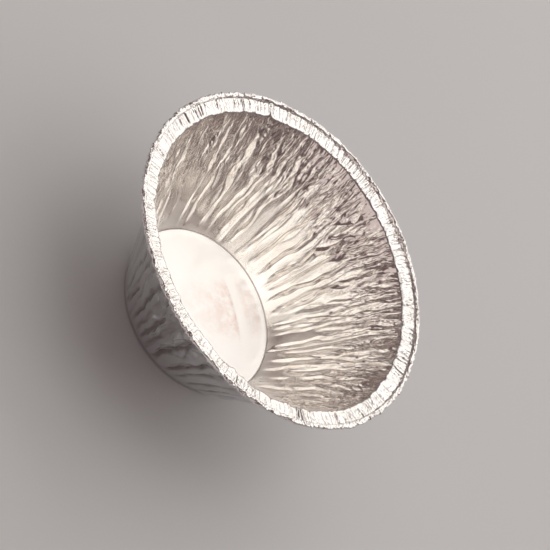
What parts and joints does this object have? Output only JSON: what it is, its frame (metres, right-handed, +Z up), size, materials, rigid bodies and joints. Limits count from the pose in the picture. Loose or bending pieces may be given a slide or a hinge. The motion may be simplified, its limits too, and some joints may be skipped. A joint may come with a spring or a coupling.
{
  "type": "foil pie case",
  "caption": "Deep round foil pie case with a flat base, a flared pleated wall, a crimped flange and a rolled bead at the rim, for baking and holding one small pie.",
  "frame": {"origin": "middle of the base's underside, on the case's axis", "axes": "+Z up along the case's axis, from the base to the open mouth; X and Y are alike"},
  "size_m": [0.0718, 0.0718, 0.0314],
  "materials": {
    "plain_foil": "satin rolled foil",
    "pleated_foil": "bright wrinkled foil",
    "crimped_foil": "bright pressed foil",
    "rolled_foil": "bright rolled edge"
  },
  "bodies": {
    "root": {"base_panel": "plain_foil", "pleated_wall": "pleated_foil", "crimped_flange": "crimped_foil", "rolled_bead": "rolled_foil"}
  },
  "joints": []
}
